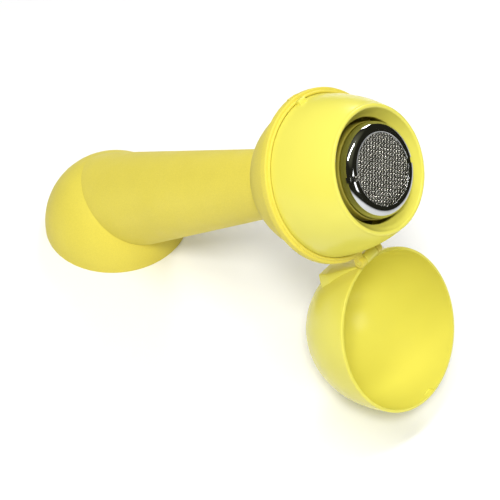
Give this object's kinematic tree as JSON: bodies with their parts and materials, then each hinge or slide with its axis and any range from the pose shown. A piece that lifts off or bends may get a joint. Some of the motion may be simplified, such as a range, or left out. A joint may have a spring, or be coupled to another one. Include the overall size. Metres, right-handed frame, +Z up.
{
  "type": "eyewash outlet",
  "caption": "Bench-mounted single-jet emergency eyewash outlet with ball head, slotted aerator and hinged deep dust cap.",
  "frame": {"origin": "centre of the foot's flat underside, on the bench", "axes": "+Z up out of the bench, +X the way the arm and head lean, +Y along the cap's hinge pin"},
  "size_m": [0.1924, 0.0624, 0.1209],
  "materials": {
    "moulded_yellow_matt": "moulded, fine matt grain",
    "moulded_yellow_gloss": "moulded, semi-gloss",
    "rubber_black": "matt moulded rubber",
    "acetal_black": "moulded acetal",
    "brass": "turned brass",
    "chrome": "bright chrome plate",
    "steel": "drawn stainless steel"
  },
  "bodies": {
    "root": {"base_dome": "moulded_yellow_matt", "base_plate": "moulded_yellow_matt", "base_gasket": "rubber_black", "plate_screw_1": "steel", "plate_screw_2": "steel", "plate_screw_3": "steel", "inlet_elbow": "brass", "inlet_washer": "rubber_black", "elbow_seal": "rubber_black", "supply_tube": "brass", "head_locknut": "brass", "arm": "moulded_yellow_matt", "back_shell": "moulded_yellow_matt", "front_shell": "moulded_yellow_gloss", "nozzle_holder": "moulded_yellow_gloss", "nozzle_seal": "rubber_black", "aerator_housing": "chrome", "aerator_washer": "rubber_black", "outlet_screen": "steel", "inner_screen": "steel", "diffuser_plate": "acetal_black", "flow_regulator": "acetal_black", "hinge_pin": "moulded_yellow_gloss"},
    "dust_cap": {"cap": "moulded_yellow_gloss"}
  },
  "joints": [
    {"name": "cap_hinge", "type": "hinge", "parent": "root", "child": "dust_cap", "pos_m": [0.12674, 0, 0.06597], "axis": [0, -1, 0], "range_deg": [0, 180]}
  ]
}
